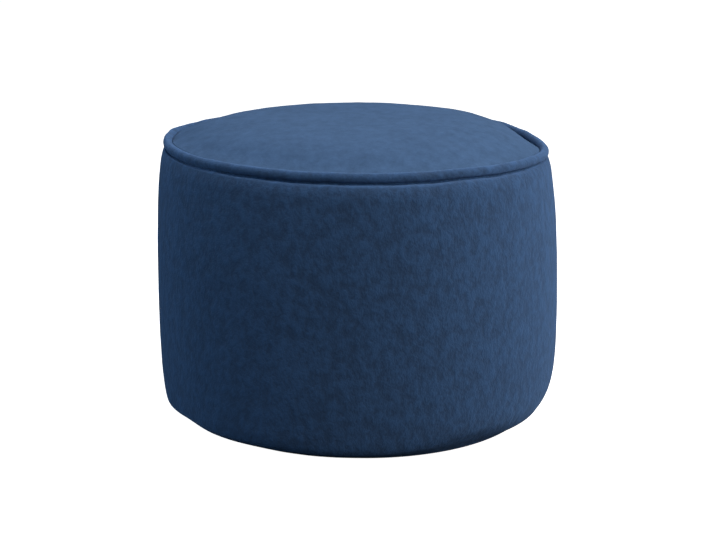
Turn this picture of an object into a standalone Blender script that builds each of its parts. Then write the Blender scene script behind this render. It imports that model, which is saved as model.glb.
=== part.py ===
"""Round footstool in short-pile cloth.

A filled body in a side band, a crowned top panel, piping round the top seam, and a flat base panel.
Metres, with +Z up and the front at -Y. The origin is on the floor, under the middle.
"""

import math
from collections import namedtuple

import bmesh
import bpy

# Driving dimensions, in metres
CLOTH = 0.002  # thickness of the panels, pile included
GAP = 0.0003  # between pieces that lie against each other
PIPING_RADIUS = 0.0056  # covered cord
SEAM_RADIUS = 0.2293  # middle of the piping, from the seam's own centre
SEAM_SHIFT = -0.0053  # the top seam's centre lies this far along X
SEAM_HEIGHT = 0.3388  # middle of the piping above the floor
SEAM_SLOPE = -0.016  # rise of the top seam for each metre along X
RIM_RISE = 0.0015  # the top panel meets the piping this far above the cord's middle
CROWN_RISE = 0.0304  # height of the filled top over the rim
CROWN_FULLNESS = 4.4  # exponent of the crown's curve: a higher one is flatter in the middle
LEVELLING = 4  # exponent with which the crown levels out the seam's slope and waves
SHOULDER_DROP = 0.018  # height over which the band rounds in to the seam
SHOULDER_CURVE = 1.6  # exponent of that rounding: 2 is an ellipse, and a lower one is flatter
SKIRT = 0.004  # how far the top panel's edge goes down inside the piping, below the cord's middle
BASE_INSET = 0.006  # the base panel's edge lies this far inside the body's foot

# The band's reach to each side of the origin. A share of 1 is at the underside of the piping.
Section = namedtuple("Section", "share left right")
BAND = [
    Section(0.007, 0.1955, 0.2130),
    Section(0.025, 0.2175, 0.2215),
    Section(0.045, 0.2330, 0.2305),
    Section(0.070, 0.2435, 0.2362),
    Section(0.100, 0.2462, 0.2415),
    Section(0.140, 0.2472, 0.2457),
    Section(0.200, 0.2488, 0.2487),
    Section(0.300, 0.2498, 0.2500),
    Section(0.500, 0.2502, 0.2490),
    Section(0.620, 0.2500, 0.2480),
    Section(0.740, 0.2485, 0.2458),
    Section(0.840, 0.2465, 0.2425),
    Section(0.920, 0.2440, 0.2388),
    Section(1.000, 0.2404, 0.2346),
]

# How the top seam strays from a flat circle. Angles run anticlockwise from +X, seen from above.
Sway = namedtuple("Sway", "angle outward rise")
SEAM_SWAY = [
    Sway(0, 0.0032, -0.0030),
    Sway(14, 0.0011, -0.0016),
    Sway(35, 0.0008, 0.0002),
    Sway(90, 0.0000, 0.0000),
    Sway(150, -0.0004, -0.0010),
    Sway(180, -0.0010, 0.0014),
    Sway(198, -0.0013, -0.0001),
    Sway(225, -0.0004, 0.0000),
    Sway(270, 0.0002, 0.0002),
    Sway(300, 0.0006, 0.0008),
    Sway(320, 0.0014, -0.0006),
    Sway(338, 0.0033, -0.0020),
    Sway(352, 0.0046, -0.0035),
]

# Hollows in the rim of the crown. The share is how far out each lies, and the reach is how far it spreads.
Dent = namedtuple("Dent", "angle width depth share reach")
CROWN_DENTS = [
    Dent(33, 11, 0.0085, 0.955, 0.042),
    Dent(9, 8, 0.0085, 0.945, 0.045),
    Dent(120, 26, 0.0015, 0.90, 0.080),
    Dent(232, 20, 0.0012, 0.92, 0.070),
]

# Fineness of the meshes
SEGMENTS = 72  # round the footstool
SIDE_ROWS = 16
SHOULDER_ROWS = 5
CROWN_ROWS = 8
CORD_SIDES = 10
LAST_SHARE = 0.985  # the layers under the crown end here, inside the top panel's edge

SHARP_FROM = math.radians(50)  # edges this sharp stay sharp in the shading

CLOTH_BLUE = (0.034, 0.072, 0.150, 1.0)
SIDE_BLUE = (0.026, 0.058, 0.124, 1.0)
PILE_ROUGHNESS = 0.9

ANGLES = [2 * math.pi * i / SEGMENTS for i in range(SEGMENTS)]

# The body's bed under the cord, as points from the cord's middle. It starts where the band goes under the
# piping, and ends at the level on which the top panel's edge stands.
BED_RADIUS = PIPING_RADIUS + GAP
BED_START = math.radians(-60)
BED_END = math.asin((SKIRT + GAP) / BED_RADIUS) - math.pi
BED_STEPS = 3
BED_TURNS = [BED_START + (BED_END - BED_START) * k / BED_STEPS for k in range(BED_STEPS + 1)]
BED = [(BED_RADIUS * math.cos(turn), BED_RADIUS * math.sin(turn)) for turn in BED_TURNS]


def curve_through(rows, column, place, at):
    """The smooth curve through the rows' values in one column, read at a place. It never overshoots a row."""
    places = [getattr(row, place) for row in rows]
    values = [getattr(row, column) for row in rows]
    last = len(rows) - 1
    at = min(max(at, places[0]), places[last])
    i = max(k for k in range(last) if places[k] <= at)
    slopes = [(values[k + 1] - values[k]) / (places[k + 1] - places[k]) for k in range(last)]

    def tangent(k):
        if k in (0, last):
            return slopes[min(k, last - 1)]
        before, after = slopes[k - 1], slopes[k]
        return 2 * before * after / (before + after) if before * after > 0 else 0.0

    span = places[i + 1] - places[i]
    t = (at - places[i]) / span
    return (
        values[i] * (1 + 2 * t) * (1 - t) ** 2
        + tangent(i) * span * t * (1 - t) ** 2
        + values[i + 1] * t * t * (3 - 2 * t)
        - tangent(i + 1) * span * t * t * (1 - t)
    )


def sway(angle, column):
    """How far the seam strays at an angle, read round the full circle."""
    again = [row._replace(angle=row.angle + 360) for row in SEAM_SWAY[:2]]
    before = [row._replace(angle=row.angle - 360) for row in SEAM_SWAY[-1:]]
    return curve_through(before + SEAM_SWAY + again, column, "angle", math.degrees(angle) % 360)


def seam_radius(angle):
    return SEAM_RADIUS + sway(angle, "outward")


def seam_height(angle, x):
    return SEAM_HEIGHT + SEAM_SLOPE * x + sway(angle, "rise")


def by_seam(angle, outward, up):
    """The point that lies this far outward of the piping's middle and above it."""
    x = SEAM_SHIFT + (seam_radius(angle) + outward) * math.cos(angle)
    y = (seam_radius(angle) + outward) * math.sin(angle)
    return x, y, seam_height(angle, x) + up


def dent_depth(angle, share):
    """How far the crown's hollows lower it at an angle and a share of the way out."""
    depth = 0.0
    for dent in CROWN_DENTS:
        turn = (math.degrees(angle) - dent.angle + 180) % 360 - 180
        across = (turn / dent.width) ** 2
        along = ((share - dent.share) / dent.reach) ** 2
        depth += dent.depth * math.exp(-across - along)
    return depth


def crown_point(angle, share, below=0.0):
    """A point of the crown's upper face, or of the layer that lies this far below it."""
    edge = seam_radius(angle) - PIPING_RADIUS - GAP
    fall = CROWN_RISE * CROWN_FULLNESS * share ** (CROWN_FULLNESS - 1) / edge
    length = math.hypot(1, fall)
    radius = share * edge - below * fall / length
    x = SEAM_SHIFT + radius * math.cos(angle)
    y = radius * math.sin(angle)
    rim = SEAM_HEIGHT + RIM_RISE + (SEAM_SLOPE * x + sway(angle, "rise")) * share**LEVELLING
    rise = CROWN_RISE * (1 - share**CROWN_FULLNESS) - dent_depth(angle, share)
    return x, y, rim + rise - below / length


def crown_rows(below, last_share):
    """The crown's rings of points from the rim inwards, without its middle."""
    shares = [last_share * math.sin(math.pi / 2 * k / CROWN_ROWS) for k in range(CROWN_ROWS, 0, -1)]
    return [[crown_point(angle, share, below) for angle in ANGLES] for share in shares]


def band_point(angle, share_of_side=1.0, into=0.0):
    """A point of the band's outer face, on the side or a share of the way into the shoulder above it."""
    tuck_x, tuck_y, tuck_z = by_seam(angle, *BED[0])
    foot, shoulder = CLOTH + GAP, tuck_z - SHOULDER_DROP
    height = foot + (shoulder - foot) * share_of_side + SHOULDER_DROP * into
    share = min(1.0, height / (seam_height(angle, tuck_x) - PIPING_RADIUS))
    left = curve_through(BAND, "left", "share", share)
    right = curve_through(BAND, "right", "share", share)
    middle, radius = (right - left) / 2, (right + left) / 2
    x, y = middle + radius * math.cos(angle), radius * math.sin(angle)
    out = (1 - into**SHOULDER_CURVE) ** (1 / SHOULDER_CURVE)
    return tuck_x + (x - tuck_x) * out, tuck_y + (y - tuck_y) * out, height


def band_rows():
    """The band's rings of points, from the foot up to where it goes under the piping."""
    rows = []
    for k in range(SIDE_ROWS):
        share = (k / (SIDE_ROWS - 1)) ** 2  # close together at the rounded foot
        rows.append([band_point(angle, share) for angle in ANGLES])
    for k in range(1, SHOULDER_ROWS + 1):
        into = math.sin(math.pi / 2 * k / (SHOULDER_ROWS + 1))
        rows.append([band_point(angle, into=into) for angle in ANGLES])
    return rows


def new_object(name, shape, colour):
    """Makes an object from a bmesh, shades it and gives it its own material."""
    bmesh.ops.recalc_face_normals(shape, faces=shape.faces)
    mesh = bpy.data.meshes.new(name)
    shape.to_mesh(mesh)
    shape.free()
    mesh.shade_smooth()
    mesh.set_sharp_from_angle(angle=SHARP_FROM)
    material = bpy.data.materials.new(name)
    material.use_nodes = True
    surface = material.node_tree.nodes["Principled BSDF"]
    surface.inputs["Base Color"].default_value = colour
    surface.inputs["Roughness"].default_value = PILE_ROUGHNESS
    surface.inputs["Metallic"].default_value = 0.0
    mesh.materials.append(material)
    made = bpy.data.objects.new(name, mesh)
    bpy.context.collection.objects.link(made)
    return made


def skin(rows, start, end):
    """A closed mesh through rings of points. It starts and ends in a middle point."""
    made = bmesh.new()
    rings = [[made.verts.new(point) for point in row] for row in rows]
    tips = [made.verts.new(start), made.verts.new(end)]
    for i in range(SEGMENTS):
        j = (i + 1) % SEGMENTS
        made.faces.new((tips[0], rings[0][j], rings[0][i]))
        for low, high in zip(rings, rings[1:]):
            # The diagonal starts at the wider ring, so that layers that lie together are split alike
            if low[i].co.xy.length >= high[i].co.xy.length:
                made.faces.new((low[i], low[j], high[j]))
                made.faces.new((low[i], high[j], high[i]))
            else:
                made.faces.new((low[i], low[j], high[i]))
                made.faces.new((low[j], high[j], high[i]))
        made.faces.new((tips[1], rings[-1][i], rings[-1][j]))
    return made


def filled_body():
    """The side band with the stuffing that fills it: one solid, with a bed for the cord and the crown."""
    layer = CLOTH + GAP
    rows = band_rows()
    for outward, up in BED + [(-BED_RADIUS - layer, -SKIRT - GAP)]:
        rows.append([by_seam(angle, outward, up) for angle in ANGLES])
    rows += crown_rows(layer, LAST_SHARE)
    made = skin(rows, (0, 0, layer), crown_point(0, 0, layer))
    return new_object("filled_body", made, SIDE_BLUE)


def top_panel():
    """The round of cloth over the crown, with its edge turned down inside the piping."""
    inner = list(reversed(crown_rows(CLOTH, LAST_SHARE)))
    ends = (-BED_RADIUS - CLOTH, -BED_RADIUS)
    edge = [[by_seam(angle, outward, -SKIRT) for angle in ANGLES] for outward in ends]
    outer = crown_rows(0.0, 1.0)
    made = skin(inner + edge + outer, crown_point(0, 0, CLOTH), crown_point(0, 0))
    return new_object("top_panel", made, CLOTH_BLUE)


def top_piping():
    """The covered cord sewn into the top seam, a closed ring."""
    made = bmesh.new()
    rings = []
    for angle in ANGLES:
        turns = [2 * math.pi * k / CORD_SIDES for k in range(CORD_SIDES)]
        points = [by_seam(angle, PIPING_RADIUS * math.cos(t), PIPING_RADIUS * math.sin(t)) for t in turns]
        rings.append([made.verts.new(point) for point in points])
    for i in range(SEGMENTS):
        here, there = rings[i], rings[(i + 1) % SEGMENTS]
        for k in range(CORD_SIDES):
            m = (k + 1) % CORD_SIDES
            made.faces.new((here[k], there[k], there[m], here[m]))
    return new_object("top_piping", made, CLOTH_BLUE)


def base_panel():
    """The flat round of cloth that closes the underside and rests on the floor."""
    left, right = BAND[0].left - BASE_INSET, BAND[0].right - BASE_INSET
    middle, radius = (right - left) / 2, (right + left) / 2
    outline = [(middle + radius * math.cos(angle), radius * math.sin(angle)) for angle in ANGLES]
    rows = [[(x, y, z) for x, y in outline] for z in (0.0, CLOTH)]
    made = skin(rows, (middle, 0, 0), (middle, 0, CLOTH))
    return new_object("base_panel", made, SIDE_BLUE)


def main():
    for old in list(bpy.data.objects):
        bpy.data.objects.remove(old, do_unlink=True)
    filled_body()
    top_panel()
    top_piping()
    base_panel()


main()
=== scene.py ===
"""Looks of the round footstool in short-pile navy cloth.

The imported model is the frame. A finer piece stands in the place of each of its four nodes: the stuffed body
in its side band, the crowned top panel, the covered cord in the top seam, and the base panel.
Metres, with +Z up and the front at -Y.
"""

import math
from collections import namedtuple

import bpy
import numpy as np
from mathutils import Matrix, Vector, noise


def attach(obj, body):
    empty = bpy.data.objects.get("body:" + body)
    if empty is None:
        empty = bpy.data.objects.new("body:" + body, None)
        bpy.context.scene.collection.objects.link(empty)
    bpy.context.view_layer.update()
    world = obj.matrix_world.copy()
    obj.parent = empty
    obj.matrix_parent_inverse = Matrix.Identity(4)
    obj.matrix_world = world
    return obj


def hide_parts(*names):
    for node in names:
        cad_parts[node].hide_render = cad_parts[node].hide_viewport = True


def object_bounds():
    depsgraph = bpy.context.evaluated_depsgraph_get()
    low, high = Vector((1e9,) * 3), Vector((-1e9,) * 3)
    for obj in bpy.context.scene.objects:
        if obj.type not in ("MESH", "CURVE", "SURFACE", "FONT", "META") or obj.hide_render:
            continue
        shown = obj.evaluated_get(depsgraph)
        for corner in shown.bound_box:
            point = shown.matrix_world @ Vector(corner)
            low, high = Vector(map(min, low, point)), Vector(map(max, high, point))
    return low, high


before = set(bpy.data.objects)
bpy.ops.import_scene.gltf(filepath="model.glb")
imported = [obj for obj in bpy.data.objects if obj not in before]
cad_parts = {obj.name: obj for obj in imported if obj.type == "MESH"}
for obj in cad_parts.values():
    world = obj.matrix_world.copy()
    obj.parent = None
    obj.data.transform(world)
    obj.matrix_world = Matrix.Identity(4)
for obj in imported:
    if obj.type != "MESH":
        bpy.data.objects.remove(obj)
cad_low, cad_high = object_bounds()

# The photograph's camera
CAMERA_DISTANCE = 2.0405  # from its target
CAMERA_ELEVATION = math.radians(14.53)
CAMERA_TARGET = (-0.0003, 0.0, 0.1755)
CAMERA_LENS = 81.5  # millimetres, on a sensor 36 wide
CAMERA_SENSOR = 36.0

# Driving dimensions, as in the model but for the curves of the crown and of the shoulder
CLOTH = 0.002  # thickness of the panels, pile included
GAP = 0.0003  # between pieces that lie against each other
LAYER = CLOTH + GAP
PIPING_RADIUS = 0.0056  # covered cord
SEAM_RADIUS = 0.2293  # middle of the piping, from the seam's own centre
SEAM_SHIFT = -0.0053  # the top seam's centre lies this far along X
SEAM_HEIGHT = 0.3388  # middle of the piping above the floor
SEAM_SLOPE = -0.016  # rise of the top seam for each metre along X
RIM_RISE = 0.0015  # the top panel's rim lies this far above the cord's middle, or as RIM says
RIM_REACH = 26  # exponent with which what RIM adds fades inwards
CROWN_RISE = 0.0291  # height of the filled top over the rim
CROWN_FULLNESS = 4.8  # exponent of the crown's curve: a higher one is flatter in the middle
LEVELLING = 4  # exponent with which the crown levels out the seam's slope and waves
SHOULDER_DROP = 0.018  # height over which the band rounds in to the seam
SHOULDER_CURVE = 1.92  # exponent of that rounding: 2 is an ellipse, and a lower one is flatter
SKIRT = 0.004  # how far the top panel's edge goes down inside the piping, below the cord's middle
BASE_INSET = 0.006  # the base panel's edge lies this far inside the body's foot

# The band's reach to each side of the origin, and to the front and back. A share of 0 is at the floor, and a
# share of 1 at the underside of the piping.
Section = namedtuple("Section", "share left right front")
BAND = [
    Section(0.007, 0.1955, 0.2130, 0.2043),
    Section(0.025, 0.2175, 0.2215, 0.2195),
    Section(0.045, 0.2330, 0.2305, 0.2340),
    Section(0.060, 0.2395, 0.2335, 0.2420),
    Section(0.080, 0.2445, 0.2380, 0.2460),
    Section(0.110, 0.2466, 0.2426, 0.2478),
    Section(0.150, 0.2475, 0.2463, 0.2487),
    Section(0.200, 0.2488, 0.2487, 0.2493),
    Section(0.300, 0.2498, 0.2500, 0.2499),
    Section(0.500, 0.2502, 0.2490, 0.2496),
    Section(0.620, 0.2500, 0.2480, 0.2494),
    Section(0.740, 0.2485, 0.2458, 0.2485),
    Section(0.840, 0.2465, 0.2425, 0.2471),
    Section(0.920, 0.2440, 0.2388, 0.2452),
    Section(1.000, 0.2404, 0.2346, 0.2428),
]

# How the top seam strays from a flat circle. Angles run anticlockwise from +X, seen from above.
# The shoulder is how much higher than elsewhere the band stands beside the cord.
Sway = namedtuple("Sway", "angle outward rise shoulder")
SEAM_SWAY = [
    Sway(0, 0.0032, -0.0030, 0.0),
    Sway(14, 0.0011, -0.0016, 0.0),
    Sway(37, 0.0009, 0.0017, 0.0),
    Sway(55, 0.0004, 0.0011, 0.0),
    Sway(90, 0.0000, 0.0000, 0.0),
    Sway(150, -0.0004, -0.0010, 0.0),
    Sway(180, -0.0010, 0.0014, 0.0),
    Sway(198, -0.0013, -0.0001, 0.0026),
    Sway(225, -0.0004, 0.0000, 0.0014),
    Sway(270, 0.0002, 0.0002, 0.0),
    Sway(300, 0.0006, 0.0008, 0.0),
    Sway(320, 0.0014, -0.0006, 0.0),
    Sway(338, 0.0033, -0.0020, 0.0),
    Sway(352, 0.0046, -0.0035, 0.0),
]

# How far above the cord's middle the panel's rim lies. At the front it lies over the cord's inner side.
Rim = namedtuple("Rim", "angle rise")
RIM = [
    Rim(5, -0.0010),
    Rim(45, -0.0010),
    Rim(70, 0.0015),
    Rim(184, 0.0014),
    Rim(194, 0.0044),
    Rim(214, 0.0046),
    Rim(270, 0.0042),
    Rim(344, 0.0040),
]

# The small waves that sewing leaves in the seam, each with its number of waves round the footstool
Waver = namedtuple("Waver", "waves outward rise phase")
SEAM_WAVERS = [
    Waver(11, 0.00016, 0.00020, 0.4),
    Waver(19, 0.00014, 0.00018, 2.1),
    Waver(31, 0.00010, 0.00014, 4.0),
    Waver(47, 0.00006, 0.00008, 5.3),
]

# Hollows in the rim of the crown. The share is how far out each lies, and the reach is how far it spreads.
Dent = namedtuple("Dent", "angle width depth share reach")
CROWN_DENTS = [
    Dent(35, 9, 0.0110, 0.955, 0.040),
    Dent(34, 5, 0.0035, 0.940, 0.050),
    Dent(23, 4, -0.0028, 0.930, 0.050),
    Dent(14, 2.5, 0.0014, 0.930, 0.040),
    Dent(9, 8, 0.0085, 0.945, 0.045),
    Dent(120, 26, 0.0015, 0.90, 0.080),
    Dent(149, 12, 0.0038, 0.95, 0.045),
    Dent(232, 20, 0.0012, 0.92, 0.070),
]

# Places where the band's lower edge turns under sooner, or stands out. Here the share is as in BAND.
FOOT_DENTS = [
    Dent(304, 17, 0.0052, 0.058, 0.037),
    Dent(241, 8, 0.0008, 0.035, 0.040),
    Dent(212, 8, 0.0024, 0.045, 0.045),
    Dent(198, 7, -0.0015, 0.055, 0.035),
    Dent(184, 7, 0.0012, 0.090, 0.040),
]

# Unevenness of the stuffing, and of the cloth over it: how wide the lumps are, and how high
Lumps = namedtuple("Lumps", "size height seed")
STUFFING = [Lumps(0.085, 0.0007, 3.0), Lumps(0.032, 0.00022, 11.0), Lumps(0.013, 0.00008, 23.0)]

# Over this much of the way to each seam, the lumps fade out
FOOT_FADE = 0.02
TUCK_FADE = 0.08
RIM_FADE = 0.02

# The groove into which the top seam draws the band, and the puckers below it. Ways are ways up the band.
GROOVE_IN = 0.0026  # the band's edge is drawn this far under the cord
GROOVE_DOWN = 0.0029
GROOVE_START = 1.72
GROOVE_UNEVENNESS = 0.4  # share of its depth that a pucker adds or takes off
SEAM_PUCKERS = [Lumps(0.020, 0.0005, 5.0), Lumps(0.008, 0.0003, 17.0)]
PUCKER_FADE = 0.009  # distance below the seam at which they are a third as high
PUCKER_START, PUCKER_RISE = 1.0, 0.4  # where they start, and over how much of the way they grow
SHOULDER_START, SHOULDER_RISE = 1.1, 0.6  # the same for what SEAM_SWAY adds to the shoulder

# Where the band turns under at the foot: how far in each ring of points lies, and how high
TURN_UNDER = [(0.0055, LAYER), (0.0030, 0.0011)]

# The seam that closes the side band, plain and at the back
CLOSING_ANGLE = math.radians(97)
CLOSING_DEPTH = 0.0011
CLOSING_WIDTH = 0.0016  # from its middle to where it is a third as deep
CLOSING_REACH = 0.014  # the mesh is finer this far to each side
CLOSING_STEP = 0.0008
CLOSING_PUCKER = 0.00035
CLOSING_PUCKER_SIZE = 0.011
CLOSING_PUCKER_SPREAD = 0.00875  # to each side, until the puckers are a third as high

# Cloth simulation of the band and the top panel
SIM_COLUMNS = 176
SIM_FRAMES = 20
AIR_PRESSURE = 4.0
BAND_EASE = 0.035  # the band is cut this much longer than its seam
PANEL_EASE = 0.014
PUCKER_CAP = 0.0011
PUCKER_SMOOTHING = 2
SIM_BAND_ROWS = 50
SIM_PANEL_ROWS = 28
BAND_EASE_START = 0.6  # way up the band from which it is eased in to the top seam
FOOT_EASE = 0.35  # share of that ease at the foot
FOOT_EASE_END = 0.25
PANEL_EASE_START = 0.6  # share of the panel's radius from which it is eased in
PANEL_SIM_START = 0.35  # share at which the simulated ring of the panel ends
PANEL_SIM_FADE = 0.3  # and from there, over how much the puckers fade in

# Fineness of the meshes
COLUMNS = 360
BAND_ROWS = 140
TUCK_START = 1.4  # from here to its tuck the band has closer rows
TUCK_ROWS = 26
CROWN_ROWS = 96
HIDDEN_ROWS = 10
CROWN_START = 0.01  # share of the innermost ring of points of the crown
UNDER_START = 0.1  # and of the panel's underside
CORD_COLUMNS = 1260
CORD_SIDES = 24
BASE_ROWS = 14
BASE_SHARES = (0.1, 0.4, 0.7, 0.9)
RIM_SHARES = (1.0, 0.9975, 0.993, 0.985)  # closer rows of the top panel, from its rim inwards
RIM_EDGE = 0.0005  # the rim's outermost points lie this much lower, which rounds it
LAST_SHARE = 0.985  # the layers under the crown end here, inside the top panel's edge

# The cloth strip that covers the cord, cut on the bias
WRAP_WAVES = 152  # ripples round the whole piping
WRAP_LEAN = 4  # ripples that lie side by side round the cord
WRAP_HEIGHT = 0.00010
WRAP_FADE_SIZE = 0.031  # the ripples come and go over about this length
CORD_SWELL = 0.00018
CORD_SWELL_SIZE = 0.022
CORD_JOIN_ANGLE = math.radians(84)
CORD_JOIN_LENGTH = 0.016
CORD_JOIN_HEIGHT = 0.0007
CORD_JOIN_SLANT = 0.004
CORD_JOIN_SLOPE = 0.002  # length over which the strip rises into the join
CORD_JOIN_STEP = 0.0006  # and over which it ends

# The body's bed under the cord, as points from the cord's middle. It starts where the band goes under the
# piping, and ends at the level on which the top panel's edge stands.
BED_RADIUS = PIPING_RADIUS + GAP
BED_START = math.radians(-60)
BED_END = math.asin((SKIRT + GAP) / BED_RADIUS) - math.pi
BED_STEPS = 6
BED_TURNS = [BED_START + (BED_END - BED_START) * k / BED_STEPS for k in range(BED_STEPS + 1)]
BED = [(BED_RADIUS * math.cos(turn), BED_RADIUS * math.sin(turn)) for turn in BED_TURNS]

# Finish of the cloth
# Deep and pale colours of the pile. For the side and the base they are the cloth's dye; for the top and the
# piping they also hold painted light
DyeAndPaintedLight = namedtuple("DyeAndPaintedLight", "deep pale")
SIDE_DYE = DyeAndPaintedLight((0.0051, 0.0214, 0.0562, 1.0), (0.0143, 0.0486, 0.1194, 1.0))
# The top panel is the same cloth as the side, but its colours are lighter: painted light, which stands in for
# the sheen and overhead light on the top
TOP_DYE_AND_PAINTED_LIGHT = DyeAndPaintedLight((0.0138, 0.0355, 0.0744, 1.0), (0.0370, 0.0794, 0.1602, 1.0))
# The piping is the same cloth as the side, but its colours are lighter: painted light, which brightens the
# cord where it lies in shade
PIPING_DYE_AND_PAINTED_LIGHT = DyeAndPaintedLight((0.0070, 0.0254, 0.0640, 1.0), (0.0188, 0.0570, 0.1380, 1.0))
SHEEN_TINT = (0.33, 0.55, 1.0, 1.0)

# The flecks are longer along the axis whose value is lower
UPRIGHT_NAP, LEVEL_NAP, EVEN_NAP = (1.15, 1.15, 0.85), (1.0, 0.7, 1.0), (1.0, 1.0, 1.0)

# Studio light: large softboxes from above and the right, and cooler ones that lighten the shaded side
Softbox = namedtuple("Softbox", "name place size power tint")
NEUTRAL, COOL = (1.0, 1.0, 1.0), (0.56, 0.80, 1.0)
SOFTBOXES = [
    Softbox("overhead", (0.0, 0.0, 2.2), 1.8, 20.8, NEUTRAL),
    Softbox("high right front", (1.1, -1.1, 1.8), 1.2, 19.5, NEUTRAL),
    Softbox("high right", (2.0, 0.0, 1.5), 1.2, 31.5, NEUTRAL),
    Softbox("right front", (1.8, -1.5, 1.1), 1.2, 19.5, NEUTRAL),
    Softbox("left", (-2.4, 0.0, 1.0), 1.2, 28.0, COOL),
    Softbox("front", (0.0, -2.4, 1.2), 1.2, 8.0, COOL),
]
LIT_POINT = (0.0, 0.0, 0.2)
FILL_TINT = (0.92, 0.96, 1.0, 1.0)
FILL_STRENGTH = 0.01
FLOOR_REACH = 6.0  # from the middle to each edge


def fade_in(values, start, length):
    """0 up to the start, and rising evenly to 1 over this length."""
    return np.clip((values - start) / length, 0, 1)


def curve_through(rows, column, place, at):
    """The smooth curve through the rows' values in one column, read at places. It never overshoots a row."""
    places = np.array([getattr(row, place) for row in rows], float)
    values = np.array([getattr(row, column) for row in rows], float)
    slopes = np.diff(values) / np.diff(places)
    before, after = slopes[:-1], slopes[1:]
    same_way = before * after > 0
    between = np.where(same_way, 2 * before * after / np.where(same_way, before + after, 1), 0.0)
    tangents = np.concatenate([slopes[:1], between, slopes[-1:]])
    at = np.clip(at, places[0], places[-1])
    i = np.clip(np.searchsorted(places, at, side="right") - 1, 0, len(places) - 2)
    span = places[i + 1] - places[i]
    t = (at - places[i]) / span
    return (
        values[i] * (1 + 2 * t) * (1 - t) ** 2
        + tangents[i] * span * t * (1 - t) ** 2
        + values[i + 1] * t * t * (3 - 2 * t)
        - tangents[i + 1] * span * t * t * (1 - t)
    )


def read_round(rows, column, angles):
    """The smooth closed curve through the rows' values in one column, read at these angles."""
    again = [row._replace(angle=row.angle + 360) for row in rows[:2]]
    before = [row._replace(angle=row.angle - 360) for row in rows[-1:]]
    return curve_through(before + rows + again, column, "angle", np.degrees(angles) % 360)


def sway(angles, column):
    """How far the seam strays at each angle, with the sewing's small waves."""
    strays = read_round(SEAM_SWAY, column, angles)
    for waver in SEAM_WAVERS:
        strays = strays + getattr(waver, column) * np.sin(waver.waves * angles + waver.phase)
    return strays


def seam_radius(angles):
    return SEAM_RADIUS + sway(angles, "outward")


def seam_height(angles, x):
    return SEAM_HEIGHT + SEAM_SLOPE * x + sway(angles, "rise")


def by_seam(angles, outward, up):
    """The points that lie this far outward of the piping's middle and above it."""
    radius = seam_radius(angles) + outward
    x = SEAM_SHIFT + radius * np.cos(angles)
    y = radius * np.sin(angles)
    return np.stack([x, y, seam_height(angles, x) + up], axis=-1)


def dent_depth(dents, angles, shares):
    """How deep the hollows are at these angles and shares."""
    depth = 0.0
    for dent in dents:
        turn = (np.degrees(angles) - dent.angle + 180) % 360 - 180
        across = (turn / dent.width) ** 2
        along = ((shares - dent.share) / dent.reach) ** 2
        depth = depth + dent.depth * np.exp(-across - along)
    return depth


def crown_points(angles, shares, below=0.0):
    """Points of the crown's upper face, or of the layer that lies this far below it."""
    edge = seam_radius(angles) - PIPING_RADIUS - GAP
    fall = CROWN_RISE * CROWN_FULLNESS * shares ** (CROWN_FULLNESS - 1) / edge
    length = np.hypot(1, fall)
    radius = shares * edge - below * fall / length
    x = SEAM_SHIFT + radius * np.cos(angles)
    y = radius * np.sin(angles)
    rim = SEAM_HEIGHT + RIM_RISE + (SEAM_SLOPE * x + sway(angles, "rise")) * shares**LEVELLING
    rim = rim + (read_round(RIM, "rise", angles) - RIM_RISE) * shares**RIM_REACH
    rise = CROWN_RISE * (1 - shares**CROWN_FULLNESS) - dent_depth(CROWN_DENTS, angles, shares)
    return np.stack([x, y, rim + rise - below / length], axis=-1)


def band_points(angles, way):
    """Points of the band's outer face.

    The way up is 0 at the foot, 1 where the shoulder starts and 2 in its tuck.
    """
    side, into = np.clip(way, 0, 1), np.clip(way - 1, 0, 1)
    tuck = by_seam(angles, *BED[0])
    shoulder = tuck[..., 2] - SHOULDER_DROP
    height = LAYER + (shoulder - LAYER) * side + SHOULDER_DROP * into
    share = height / (seam_height(angles, tuck[..., 0]) - PIPING_RADIUS)
    left = curve_through(BAND, "left", "share", share)
    right = curve_through(BAND, "right", "share", share)
    middle, radius = (right - left) / 2, (right + left) / 2
    out = (1 - into**SHOULDER_CURVE) ** (1 / SHOULDER_CURVE)
    depth = curve_through(BAND, "front", "share", share)
    x = tuck[..., 0] + (middle + radius * np.cos(angles) - tuck[..., 0]) * out
    y = tuck[..., 1] + (depth * np.sin(angles) - tuck[..., 1]) * out
    return np.stack([x, y, height], axis=-1)


def even_steps(points_at, first, last, count):
    """Values from first to last at which the front's profile has points at even distances."""
    tries = np.linspace(first, last, 40 * count)
    front = np.full(1, -math.pi / 2)
    profile = points_at(front, tries[:, None])[:, 0]
    along = np.concatenate([[0], np.cumsum(np.linalg.norm(np.diff(profile, axis=0), axis=1))])
    return np.interp(np.linspace(0, along[-1], count), along, tries)[:, None]


def turned_angles(columns):
    return np.arange(columns) * 2 * math.pi / columns


def band_angles():
    """Angles of the body's columns: even, and closer together beside the closing seam."""
    even = turned_angles(COLUMNS)
    reach, step = CLOSING_REACH / cad_high.x, CLOSING_STEP / cad_high.x
    fine = CLOSING_ANGLE + np.arange(-reach, reach, step)
    return np.sort(np.concatenate([even[np.abs(even - CLOSING_ANGLE) > reach], fine]))


def normals_of(points):
    """Outward normals of a grid of points that is closed along its columns."""
    around = np.roll(points, -1, axis=1) - np.roll(points, 1, axis=1)
    normals = np.cross(around, np.gradient(points, axis=0))
    return normals / np.maximum(np.linalg.norm(normals, axis=-1, keepdims=True), 1e-12)


def lumps(points, kinds=STUFFING):
    """How far unevenness of these kinds lifts each point."""
    lift = np.zeros(points.shape[:-1])
    for kind in kinds:
        offset = Vector((kind.seed, 2 * kind.seed, 3 * kind.seed))
        flat = [noise.noise(Vector(p) / kind.size + offset) for p in points.reshape(-1, 3)]
        lift += kind.height * np.array(flat).reshape(lift.shape)
    return lift


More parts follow.
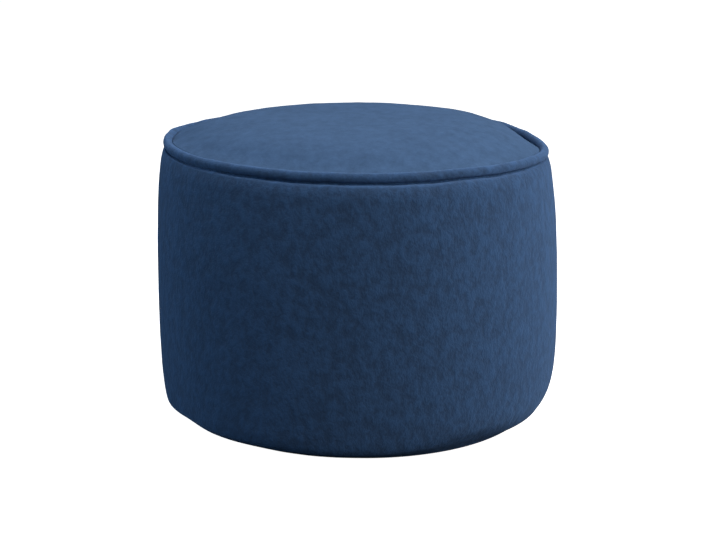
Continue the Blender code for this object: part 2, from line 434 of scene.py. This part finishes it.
def grid_mesh(name, points, ends=None, tube=False):
    """A mesh through rings of points.

    It is closed by an end point under the first ring and over the last, or it is a tube.
    """
    rows, columns = points.shape[:2]
    index = np.arange(rows * columns).reshape(rows, columns)
    above = np.roll(index, -1, axis=0) if tube else index[1:]
    below = index if tube else index[:-1]
    beside = [np.roll(ring, -1, axis=1) for ring in (below, above)]
    faces = np.stack([below, beside[0], beside[1], above], axis=-1).reshape(-1, 4).tolist()
    places = points.reshape(-1, 3).tolist()
    if ends is not None:
        first, last = len(places), len(places) + 1
        places += [list(ends[0]), list(ends[1])]
        faces += [(first, index[0, (i + 1) % columns], index[0, i]) for i in range(columns)]
        faces += [(last, index[-1, i], index[-1, (i + 1) % columns]) for i in range(columns)]
    mesh = bpy.data.meshes.new(name)
    mesh.from_pydata(places, [], faces)
    mesh.shade_smooth()
    return mesh


def new_piece(name, mesh):
    piece = bpy.data.objects.new(name, mesh)
    bpy.context.collection.objects.link(piece)
    return piece


def settled(points, ease_at, ease):
    """How far simulated cloth swells out of a grid, along its normals, with its first and last rows held.

    The cloth is cut a little too long for its seams, most where ease_at is 1, and air presses it out. What
    a row moves as a whole is taken off, which leaves the puckers.
    """
    rows, columns = points.shape[:2]
    sheet = new_piece("settling", grid_mesh("settling", points))
    held = sheet.vertex_groups.new(name="held")
    held.add([*range(columns), *range((rows - 1) * columns, rows * columns)], 1.0, "REPLACE")
    eased = sheet.vertex_groups.new(name="eased")
    for row, weight in enumerate(ease_at):
        eased.add(list(range(row * columns, (row + 1) * columns)), float(weight), "REPLACE")
    cloth = sheet.modifiers.new("settling", "CLOTH")
    cloth.point_cache.frame_start, cloth.point_cache.frame_end = 1, SIM_FRAMES
    cloth.settings.quality = 6
    cloth.settings.mass = 0.15
    cloth.settings.tension_stiffness = cloth.settings.compression_stiffness = 25
    cloth.settings.shear_stiffness = 8
    cloth.settings.bending_stiffness = 0.4
    cloth.settings.air_damping = 3
    cloth.settings.use_pressure = True
    cloth.settings.uniform_pressure_force = AIR_PRESSURE
    cloth.settings.vertex_group_mass = held.name
    cloth.settings.vertex_group_shrink = eased.name
    cloth.settings.shrink_min, cloth.settings.shrink_max = 0.0, -ease
    cloth.settings.effector_weights.gravity = 0
    for frame_number in range(1, SIM_FRAMES + 1):
        bpy.context.scene.frame_set(frame_number)
    shaped = sheet.evaluated_get(bpy.context.evaluated_depsgraph_get())
    places = np.array([v.co for v in shaped.data.vertices]).reshape(points.shape)
    bpy.data.objects.remove(sheet, do_unlink=True)
    bpy.context.scene.frame_set(1)
    swell = ((places - points) * normals_of(points)).sum(axis=-1)
    swell -= swell.mean(axis=1, keepdims=True)
    return PUCKER_CAP * np.tanh(swell / PUCKER_CAP)


def read_field(field, way, angles, field_way):
    """Reads a field of the simulation's rows and columns at a finer grid's ways and angles."""
    turns = np.append(turned_angles(field.shape[1]), 2 * math.pi)
    closed = np.hstack([field, field[:, :1]])
    across = np.array([np.interp(angles, turns, row) for row in closed])
    fine = np.array([np.interp(way, field_way, column) for column in across.T]).T
    for _ in range(PUCKER_SMOOTHING):
        fine[1:-1] = (fine[:-2] + 2 * fine[1:-1] + fine[2:]) / 4
        fine = (np.roll(fine, 1, axis=1) + 2 * fine + np.roll(fine, -1, axis=1)) / 4
    return fine


def band_puckers(way, angles):
    """Puckers of the side band. They are deepest just below the seam and fade towards the foot."""
    rows = even_steps(band_points, 0.0, 2.0, SIM_BAND_ROWS)
    near_seam = fade_in(rows[:, 0], BAND_EASE_START, 2 - BAND_EASE_START) ** 2
    near_foot = FOOT_EASE * np.clip(1 - rows[:, 0] / FOOT_EASE_END, 0, 1)
    field = settled(band_points(turned_angles(SIM_COLUMNS), rows), near_seam + near_foot, BAND_EASE)
    return read_field(field, way[:, 0], angles, rows[:, 0])


def panel_puckers(shares, angles):
    """Puckers of the top panel, which fade from its rim inwards.

    The simulated rows run inwards from the rim, and are turned round before they are read.
    """
    rows = even_steps(crown_points, 1.0, PANEL_SIM_START, SIM_PANEL_ROWS)
    near_rim = fade_in(rows[:, 0], PANEL_EASE_START, 1 - PANEL_EASE_START)
    field = settled(crown_points(turned_angles(SIM_COLUMNS), rows), near_rim, PANEL_EASE)
    fading = fade_in(shares, PANEL_SIM_START, PANEL_SIM_FADE)
    return read_field(field[::-1], shares[:, 0], angles, rows[::-1, 0]) * fading


def band_rows():
    """Ways up the band at which it has points, which lie closer where it goes in under the piping."""
    side = even_steps(band_points, 0.0, TUCK_START, BAND_ROWS)
    tuck = even_steps(band_points, TUCK_START, 2.0, TUCK_ROWS)
    return np.concatenate([side, tuck[1:]])


def drawn_in(points, angles, way):
    """Draws the band in to its top seam: a groove under the cord, uneven where the cloth puckers."""
    tuck = points[-1]
    below = np.maximum(tuck[:, 2] - points[..., 2], 0)
    puckers = lumps(np.stack([tuck] * len(points)) * (1, 1, 0), SEAM_PUCKERS)
    uneven = 1 + GROOVE_UNEVENNESS * puckers / SEAM_PUCKERS[0].height
    groove = fade_in(way, GROOVE_START, 2 - GROOVE_START) ** 2
    shoulder = read_round(SEAM_SWAY, "shoulder", angles) * fade_in(way, SHOULDER_START, SHOULDER_RISE)
    inward = -np.stack([np.cos(angles), np.sin(angles), 0 * angles], axis=-1)
    moved = points + inward * (GROOVE_IN * groove * uneven)[..., None]
    moved[..., 2] += puckers * np.exp(-below / PUCKER_FADE) * fade_in(way, PUCKER_START, PUCKER_RISE)
    moved[..., 2] += shoulder * (1 - groove)
    moved[..., 2] -= GROOVE_DOWN * groove * uneven
    return moved


def closing_seam(points, angles):
    """How far the seam that closes the band, and its puckers, sink each point in."""
    away = (angles - CLOSING_ANGLE) * cad_high.x
    valley = np.exp(-((away / CLOSING_WIDTH) ** 2))
    beside = np.exp(-((away / CLOSING_PUCKER_SPREAD) ** 2))
    rows = [noise.noise(Vector((0.0, 0.0, z / CLOSING_PUCKER_SIZE))) for z in points[:, 0, 2]]
    return CLOSING_DEPTH * valley + CLOSING_PUCKER * beside * np.array(rows)[:, None]


def side_piece():
    """The stuffed body in its side band, closed over its bed for the cord and under the crown."""
    angles = band_angles()
    way = band_rows()
    band = band_points(angles, way)
    lift = lumps(band) + band_puckers(way, angles) - closing_seam(band, angles)
    lift = lift - dent_depth(FOOT_DENTS, angles, band[..., 2] / SEAM_HEIGHT)
    lift *= fade_in(2 - way, 0, TUCK_FADE) * fade_in(way, 0, FOOT_FADE)
    band = drawn_in(band + normals_of(band) * lift[..., None], angles, way)
    bed = [by_seam(angles, *place) for place in BED + [(-BED_RADIUS - LAYER, -SKIRT - GAP)]]
    shares = np.linspace(LAST_SHARE, 1 / HIDDEN_ROWS, HIDDEN_ROWS)[:, None]
    crown = crown_points(angles, shares, LAYER)
    foot = band[0] * (1, 1, 0)
    centre = foot.mean(axis=0)
    turn_under = [
        centre + (foot - centre) * (1 - inset / SEAM_RADIUS) + (0, 0, height) for inset, height in TURN_UNDER
    ]
    points = np.concatenate([turn_under, band, bed[1:], crown])
    ends = (centre + (0, 0, LAYER), crown_points(np.zeros(1), np.zeros(1), LAYER)[0])
    return new_piece("side_band", grid_mesh("side_band", points, ends))


def beside_cord(height):
    """How far from the cord's middle a cloth lies that hugs the cord at this height over the middle."""
    return np.sqrt(BED_RADIUS**2 - np.clip(height, 0, 0.9 * BED_RADIUS) ** 2)


def panel_piece():
    """The top panel: a round of cloth over the crown, its edge turned down inside the piping."""
    angles = turned_angles(COLUMNS)
    inwards = even_steps(crown_points, RIM_SHARES[-1], CROWN_START, CROWN_ROWS)
    shares = np.concatenate([np.array(RIM_SHARES)[:, None], inwards[1:]])
    outer = crown_points(angles, shares)
    lift = (lumps(outer) + panel_puckers(shares, angles)) * fade_in(1 - shares, 0, RIM_FADE)
    outer[..., 2] += lift
    over = outer[0, :, 2] - seam_height(angles, outer[0, :, 0])
    outward = np.stack([np.cos(angles), np.sin(angles), 0 * angles], axis=-1)
    outer += outward * ((BED_RADIUS - beside_cord(over)) * shares**RIM_REACH)[..., None]
    outer[0, :, 2] -= RIM_EDGE
    under = np.linspace(UNDER_START, LAST_SHARE, HIDDEN_ROWS)[:, None]
    inner = crown_points(angles, under, CLOTH)
    heights = [-SKIRT + (over + SKIRT) * way for way in (0.0, 0.3, 0.6, 0.85)]
    edge = [by_seam(angles, -BED_RADIUS - CLOTH, -SKIRT)]
    edge += [by_seam(angles, -beside_cord(height), height) for height in heights]
    points = np.concatenate([inner, edge, outer])
    middle = np.zeros(1)
    ends = (crown_points(middle, middle, CLOTH)[0], outer[-1].mean(axis=0))
    return new_piece("top_cloth", grid_mesh("top_cloth", points, ends))


def piping_piece():
    """The covered cord in the top seam. Its strip is cut on the bias, ripples, and joins at the back."""
    angles = turned_angles(CORD_COLUMNS)
    turns = turned_angles(CORD_SIDES)[:, None]
    rings = by_seam(angles, 0.0, 0.0)
    swell = np.array([noise.noise(Vector(p) / CORD_SWELL_SIZE) for p in rings])
    fading = 0.5 + np.array([noise.noise(Vector(p) / WRAP_FADE_SIZE) for p in rings])
    ripple = np.sin(WRAP_WAVES * angles + WRAP_LEAN * turns + 3 * swell)
    along = (angles - CORD_JOIN_ANGLE) * SEAM_RADIUS + CORD_JOIN_SLANT * np.cos(turns)
    begun = np.tanh((along + CORD_JOIN_LENGTH) / CORD_JOIN_SLOPE)
    ended = np.tanh(along / CORD_JOIN_STEP)
    join = CORD_JOIN_HEIGHT * (begun - ended) / 2 * fade_in(along, -CORD_JOIN_LENGTH, CORD_JOIN_LENGTH)
    radius = PIPING_RADIUS + CORD_SWELL * swell + WRAP_HEIGHT * fading * ripple + join
    points = by_seam(angles, radius * np.cos(turns), radius * np.sin(turns))
    return new_piece("piping", grid_mesh("piping", points[::-1], tube=True))


def base_piece():
    """The base panel: a round of cloth, flat on the floor, its edge rounded up into the seam."""
    angles = turned_angles(COLUMNS)
    left, right = BAND[0].left - BASE_INSET, BAND[0].right - BASE_INSET
    middle, radius = (right - left) / 2, (right + left) / 2
    turns = np.linspace(-math.pi / 2, math.pi / 2, BASE_ROWS)
    profile = [(share * (radius - CLOTH / 2), 0.0) for share in BASE_SHARES]
    profile += [(radius - CLOTH / 2 * (1 - math.cos(t)), CLOTH / 2 * (1 + math.sin(t))) for t in turns]
    profile += [(share * (radius - CLOTH / 2), CLOTH) for share in reversed(BASE_SHARES)]
    rings = [
        np.stack([middle + out * np.cos(angles), out * np.sin(angles), 0 * angles + up], axis=-1)
        for out, up in profile
    ]
    ends = ((middle, 0, 0), (middle, 0, CLOTH))
    return new_piece("base_cloth", grid_mesh("base_cloth", np.array(rings), ends))


def add_node(tree, kind, inputs=None, **settings):
    """Adds a node with its settings. An input takes a plain value, or the socket that feeds it."""
    made = tree.nodes.new(kind)
    for name, value in settings.items():
        setattr(made, name, value)
    for name, value in (inputs or {}).items():
        if isinstance(value, bpy.types.NodeSocket):
            tree.links.new(value, made.inputs[name])
        else:
            made.inputs[name].default_value = value
    return made


def math_node(tree, operation, first, second):
    return add_node(tree, "ShaderNodeMath", {0: first, 1: second}, operation=operation).outputs[0]


def new_group(name, inputs, outputs):
    """An empty node group with named sockets: {name: (kind, starting value)} in and {name: kind} out."""
    group = bpy.data.node_groups.new(name, "ShaderNodeTree")
    for socket, (kind, value) in inputs.items():
        made = group.interface.new_socket(socket, in_out="INPUT", socket_type=kind)
        if value is not None:
            made.default_value = value
    for socket, kind in outputs.items():
        group.interface.new_socket(socket, in_out="OUTPUT", socket_type=kind)
    return group, group.nodes.new("NodeGroupInput"), group.nodes.new("NodeGroupOutput")


def pile_group():
    """Short pile: patches that were brushed one way or the other, flecks along the nap, and single fibres."""
    inputs = {
        "Place": ("NodeSocketVector", None),
        "Nap": ("NodeSocketVector", (1.0, 1.0, 1.0)),
        "Deep Colour": ("NodeSocketColor", (0.0, 0.0, 0.0, 1.0)),
        "Pale Colour": ("NodeSocketColor", (1.0, 1.0, 1.0, 1.0)),
        "Patch Size": ("NodeSocketFloat", 0.05),
        "Fleck Size": ("NodeSocketFloat", 0.012),
        "Fibre Size": ("NodeSocketFloat", 0.0009),
        "Patch Depth": ("NodeSocketFloat", 0.5),
        "Fleck Depth": ("NodeSocketFloat", 3.4),
        "Fibre Depth": ("NodeSocketFloat", 0.3),
    }
    group, given, result = new_group(
        "short pile", inputs, {"Colour": "NodeSocketColor", "Height": "NodeSocketFloat"}
    )
    along_nap = add_node(
        group,
        "ShaderNodeVectorMath",
        {0: given.outputs["Place"], 1: given.outputs["Nap"]},
        operation="MULTIPLY",
    ).outputs[0]
    mix = 0.5
    for kind, place, detail, rough in (
        ("Patch", given.outputs["Place"], 2.0, 0.5),
        ("Fleck", along_nap, 3.0, 0.75),
        ("Fibre", given.outputs["Place"], 1.0, 0.5),
    ):
        scale = math_node(group, "DIVIDE", 1.0, given.outputs[kind + " Size"])
        cloudy = add_node(
            group,
            "ShaderNodeTexNoise",
            {"Vector": place, "Scale": scale, "Detail": detail, "Roughness": rough},
        ).outputs[0]
        centred = math_node(group, "SUBTRACT", cloudy, 0.5)
        part = math_node(group, "MULTIPLY", centred, given.outputs[kind + " Depth"])
        mix = math_node(group, "ADD", mix, part)
    clamped = add_node(group, "ShaderNodeClamp", {0: mix}).outputs[0]
    colour = add_node(
        group,
        "ShaderNodeMix",
        {0: clamped, 6: given.outputs["Deep Colour"], 7: given.outputs["Pale Colour"]},
        data_type="RGBA",
    ).outputs[2]
    group.links.new(colour, result.inputs["Colour"])
    group.links.new(mix, result.inputs["Height"])
    return group


def cloth_finish(name, group, dye_and_painted_light, nap, sheen=0.25, softness=0.6, pile_height=0.0004, **sizes):
    """The finish of one piece of the cloth. Sizes and depths go to the pile group by their names."""
    finish = bpy.data.materials.new(name)
    finish.use_nodes = True
    tree = finish.node_tree
    surface = tree.nodes["Principled BSDF"]
    place = add_node(tree, "ShaderNodeTexCoord").outputs["Object"]
    pile = add_node(tree, "ShaderNodeGroup", node_tree=group)
    tree.links.new(place, pile.inputs["Place"])
    pile.inputs["Nap"].default_value = nap
    pile.inputs["Deep Colour"].default_value = dye_and_painted_light.deep
    pile.inputs["Pale Colour"].default_value = dye_and_painted_light.pale
    for size, value in sizes.items():
        pile.inputs[size.replace("_", " ").title()].default_value = value
    bump = add_node(tree, "ShaderNodeBump", {"Height": pile.outputs["Height"], "Distance": pile_height})
    tree.links.new(pile.outputs["Colour"], surface.inputs["Base Color"])
    tree.links.new(bump.outputs["Normal"], surface.inputs["Normal"])
    surface.inputs["Roughness"].default_value = 0.92
    surface.inputs["Specular IOR Level"].default_value = 0.2
    surface.inputs["Diffuse Roughness"].default_value = softness
    surface.inputs["Sheen Weight"].default_value = sheen
    surface.inputs["Sheen Roughness"].default_value = 0.8
    surface.inputs["Sheen Tint"].default_value = SHEEN_TINT
    return finish


def floor_finish():
    """A plain white floor that glows, so that no shadow shows on it."""
    finish = bpy.data.materials.new("floor")
    finish.use_nodes = True
    surface = finish.node_tree.nodes["Principled BSDF"]
    surface.inputs["Emission Color"].default_value = (1.0, 1.0, 1.0, 1.0)
    surface.inputs["Emission Strength"].default_value = 1.0
    surface.inputs["Base Color"].default_value = (0.8, 0.8, 0.8, 1.0)
    surface.inputs["Roughness"].default_value = 1.0
    surface.inputs["Specular IOR Level"].default_value = 0.0
    return finish


def add_camera():
    """The photograph's view: level, and from a little above the top."""
    camera = bpy.data.objects.new("camera", bpy.data.cameras.new("camera"))
    camera.data.lens = CAMERA_LENS
    camera.data.sensor_width = CAMERA_SENSOR
    back = CAMERA_DISTANCE * math.cos(CAMERA_ELEVATION)
    up = CAMERA_DISTANCE * math.sin(CAMERA_ELEVATION)
    camera.location = Vector(CAMERA_TARGET) + Vector((0, -back, up))
    camera.rotation_euler = (math.pi / 2 - CAMERA_ELEVATION, 0, 0)
    bpy.context.collection.objects.link(camera)
    bpy.context.scene.camera = camera


def add_softbox(softbox):
    """A soft square light that faces the footstool."""
    lamp = bpy.data.lights.new(softbox.name, "AREA")
    lamp.size = softbox.size
    lamp.energy = softbox.power
    lamp.color = softbox.tint
    light = bpy.data.objects.new(softbox.name, lamp)
    light.location = softbox.place
    facing = Vector(LIT_POINT) - light.location
    light.rotation_euler = facing.to_track_quat("-Z", "Y").to_euler()
    bpy.context.collection.objects.link(light)


def add_studio():
    """A white floor that runs into a white backdrop, softboxes above and to the right, and a dim fill."""
    for softbox in SOFTBOXES:
        add_softbox(softbox)
    world = bpy.data.worlds.new("studio")
    bpy.context.scene.world = world
    world.use_nodes = True
    tree = world.node_tree
    tree.nodes.clear()
    fill = add_node(tree, "ShaderNodeBackground", {"Color": FILL_TINT, "Strength": FILL_STRENGTH})
    backdrop = add_node(tree, "ShaderNodeBackground", {"Color": (1, 1, 1, 1), "Strength": 1.0})
    seen = add_node(tree, "ShaderNodeLightPath").outputs["Is Camera Ray"]
    mixed = add_node(tree, "ShaderNodeMixShader", {0: seen, 1: fill.outputs[0], 2: backdrop.outputs[0]})
    add_node(tree, "ShaderNodeOutputWorld", {"Surface": mixed.outputs[0]})
    corners = [(x * FLOOR_REACH, y * FLOOR_REACH, -GAP) for x, y in ((-1, -1), (1, -1), (1, 1), (-1, 1))]
    mesh = bpy.data.meshes.new("floor")
    mesh.from_pydata(corners, [], [(0, 1, 2, 3)])
    mesh.materials.append(floor_finish())
    floor = new_piece("floor", mesh)
    floor.visible_diffuse = floor.visible_glossy = False
    bpy.context.scene.view_settings.view_transform = "Standard"


def dress(piece, node, finish):
    """Gives a piece its finish, and its place in the frame."""
    piece.data.materials.append(finish)
    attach(piece, "root")
    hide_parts(node)


add_camera()
add_studio()

pile = pile_group()
side = side_piece()
top = panel_piece()
piping = piping_piece()
base = base_piece()

side_finish = cloth_finish("side cloth", pile, SIDE_DYE, UPRIGHT_NAP, fleck_depth=4.1)
# The top's weak sheen is made up by painted light in its lighter colours, and the piping's colours hold
# painted light too
top_finish = cloth_finish("top cloth", pile, TOP_DYE_AND_PAINTED_LIGHT, LEVEL_NAP, sheen=0.135, softness=0.0, fleck_depth=1.5)
piping_finish = cloth_finish("piping cloth", pile, PIPING_DYE_AND_PAINTED_LIGHT, EVEN_NAP)
base_finish = cloth_finish("base cloth", pile, SIDE_DYE, LEVEL_NAP)
dress(side, "filled_body", side_finish)
dress(top, "top_panel", top_finish)
dress(piping, "top_piping", piping_finish)
dress(base, "base_panel", base_finish)
